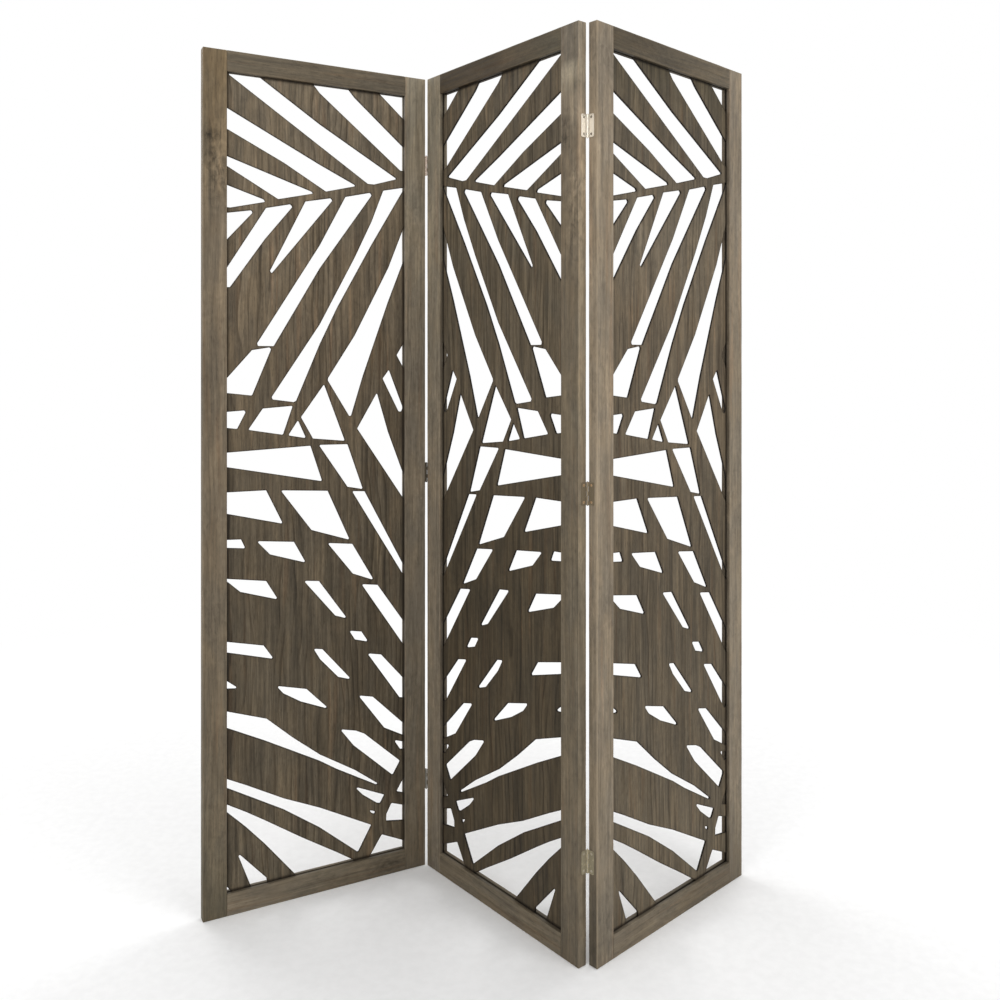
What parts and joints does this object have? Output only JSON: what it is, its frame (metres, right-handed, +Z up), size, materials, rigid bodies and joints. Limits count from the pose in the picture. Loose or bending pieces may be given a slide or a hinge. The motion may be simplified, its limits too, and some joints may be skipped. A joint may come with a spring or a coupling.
{
  "type": "folding room divider",
  "caption": "Free-standing folding wooden room divider: framed panels with pierced palm-leaf fretwork boards, joined edge to edge by butt hinges and standing in a zigzag.",
  "frame": {"origin": "middle of the footprint's bounding box, at floor level", "axes": "+Z up, the front of the screen looks along -Y, +X to the right as seen from the front"},
  "size_m": [1.0992, 0.383, 1.702],
  "materials": {
    "frame_stain": "weathered grey-brown stain, matte",
    "infill_stain": "darker brown stain, matte, with fine upright grain",
    "leaf_plating": "zinc plating, stained over in places",
    "pin_steel": "plain drawn steel",
    "screw_plating": "zinc plating"
  },
  "bodies": {
    "middle_panel": {"middle_panel_left_stile": "frame_stain", "middle_panel_right_stile": "frame_stain", "middle_panel_top_rail": "frame_stain", "middle_panel_bottom_rail": "frame_stain", "middle_panel_infill": "infill_stain", "left_hinge_top_fixed_leaf": "leaf_plating", "left_hinge_top_pin": "pin_steel", "left_hinge_top_fixed_screw_lower": "screw_plating", "left_hinge_top_fixed_screw_upper": "screw_plating", "left_hinge_middle_fixed_leaf": "leaf_plating", "left_hinge_middle_pin": "pin_steel", "left_hinge_middle_fixed_screw_lower": "screw_plating", "left_hinge_middle_fixed_screw_upper": "screw_plating", "left_hinge_bottom_fixed_leaf": "leaf_plating", "left_hinge_bottom_pin": "pin_steel", "left_hinge_bottom_fixed_screw_lower": "screw_plating", "left_hinge_bottom_fixed_screw_upper": "screw_plating", "right_hinge_top_fixed_leaf": "leaf_plating", "right_hinge_top_pin": "pin_steel", "right_hinge_top_fixed_screw_lower": "screw_plating", "right_hinge_top_fixed_screw_upper": "screw_plating", "right_hinge_middle_fixed_leaf": "leaf_plating", "right_hinge_middle_pin": "pin_steel", "right_hinge_middle_fixed_screw_lower": "screw_plating", "right_hinge_middle_fixed_screw_upper": "screw_plating", "right_hinge_bottom_fixed_leaf": "leaf_plating", "right_hinge_bottom_pin": "pin_steel", "right_hinge_bottom_fixed_screw_lower": "screw_plating", "right_hinge_bottom_fixed_screw_upper": "screw_plating"},
    "left_panel": {"left_panel_left_stile": "frame_stain", "left_panel_right_stile": "frame_stain", "left_panel_top_rail": "frame_stain", "left_panel_bottom_rail": "frame_stain", "left_panel_infill": "infill_stain", "left_hinge_top_swing_leaf": "leaf_plating", "left_hinge_top_swing_screw_lower": "screw_plating", "left_hinge_top_swing_screw_upper": "screw_plating", "left_hinge_middle_swing_leaf": "leaf_plating", "left_hinge_middle_swing_screw_lower": "screw_plating", "left_hinge_middle_swing_screw_upper": "screw_plating", "left_hinge_bottom_swing_leaf": "leaf_plating", "left_hinge_bottom_swing_screw_lower": "screw_plating", "left_hinge_bottom_swing_screw_upper": "screw_plating"},
    "right_panel": {"right_panel_left_stile": "frame_stain", "right_panel_right_stile": "frame_stain", "right_panel_top_rail": "frame_stain", "right_panel_bottom_rail": "frame_stain", "right_panel_infill": "infill_stain", "right_hinge_top_swing_leaf": "leaf_plating", "right_hinge_top_swing_screw_lower": "screw_plating", "right_hinge_top_swing_screw_upper": "screw_plating", "right_hinge_middle_swing_leaf": "leaf_plating", "right_hinge_middle_swing_screw_lower": "screw_plating", "right_hinge_middle_swing_screw_upper": "screw_plating", "right_hinge_bottom_swing_leaf": "leaf_plating", "right_hinge_bottom_swing_screw_lower": "screw_plating", "right_hinge_bottom_swing_screw_upper": "screw_plating"}
  },
  "joints": [
    {"name": "left_fold", "type": "hinge", "parent": "middle_panel", "child": "left_panel", "pos_m": [-0.12354, 0.17339, 0], "axis": [0, 0, 1], "range_deg": [-78.6, 101.4]},
    {"name": "right_fold", "type": "hinge", "parent": "middle_panel", "child": "right_panel", "pos_m": [0.19395, -0.17709, 0], "axis": [0, 0, 1], "range_deg": [-94.3, 85.7]}
  ]
}
